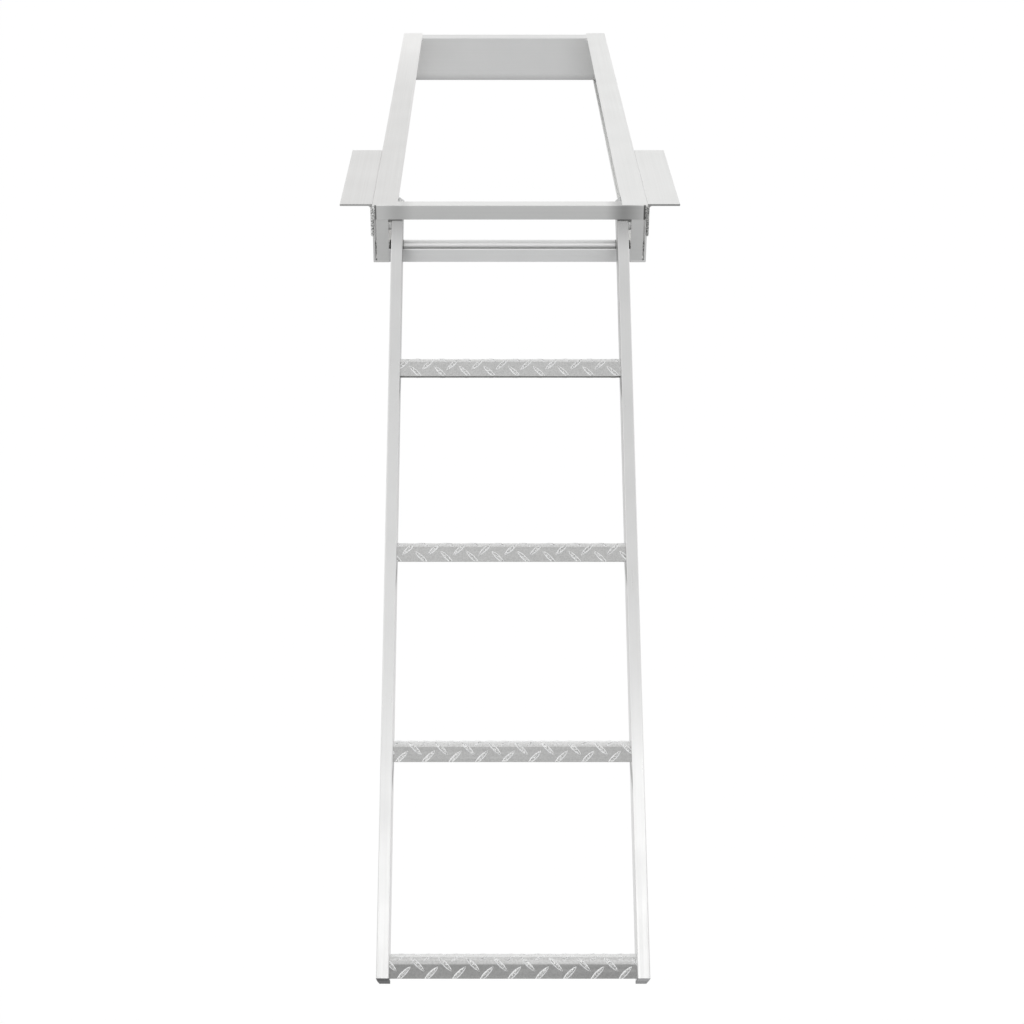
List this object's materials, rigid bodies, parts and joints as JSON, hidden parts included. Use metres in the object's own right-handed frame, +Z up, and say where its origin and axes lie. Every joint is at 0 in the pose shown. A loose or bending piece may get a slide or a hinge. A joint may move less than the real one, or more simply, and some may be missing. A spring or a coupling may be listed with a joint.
{
  "type": "slide-out boarding ladder",
  "caption": "Slide-out boarding ladder: an open aluminium frame that hangs under a deck, with a stepped ladder that swings down at its front.",
  "frame": {"origin": "on the top face of the front bar's top leg, at the ladder's middle plane", "axes": "+X to the right seen from the ladder's foot, +Y to the frame's rear, +Z up"},
  "size_m": [0.5454, 2.1189, 0.864],
  "materials": {
    "frame_metal": "mill, brushed",
    "ladder_tube": "mill, brushed",
    "tread_plate": "bright raised lozenge pattern",
    "rod_metal": "turned",
    "black_plastic": "matte"
  },
  "bodies": {
    "frame": {"front_top_bar": "frame_metal", "front_lower_bar": "frame_metal", "rear_crossmember": "frame_metal", "roller_rod": "rod_metal", "left_rail": "frame_metal", "left_stop_bar": "frame_metal", "left_mounting_angle": "frame_metal", "left_rod_sleeve": "black_plastic", "right_rail": "frame_metal", "right_stop_bar": "frame_metal", "right_mounting_angle": "frame_metal", "right_rod_sleeve": "black_plastic"},
    "ladder": {"left_stringer": "ladder_tube", "left_end_cap": "black_plastic", "left_stop_stud": "ladder_tube", "right_stringer": "ladder_tube", "right_end_cap": "black_plastic", "right_stop_stud": "ladder_tube", "tread_1": "tread_plate", "tread_2": "tread_plate", "tread_3": "tread_plate", "tread_4": "tread_plate"}
  },
  "joints": [
    {"name": "ladder_swing", "type": "hinge", "parent": "frame", "child": "ladder", "pos_m": [0, 0.009, -0.0736], "axis": [-1, 0, 0], "range_deg": [0, 43]}
  ]
}
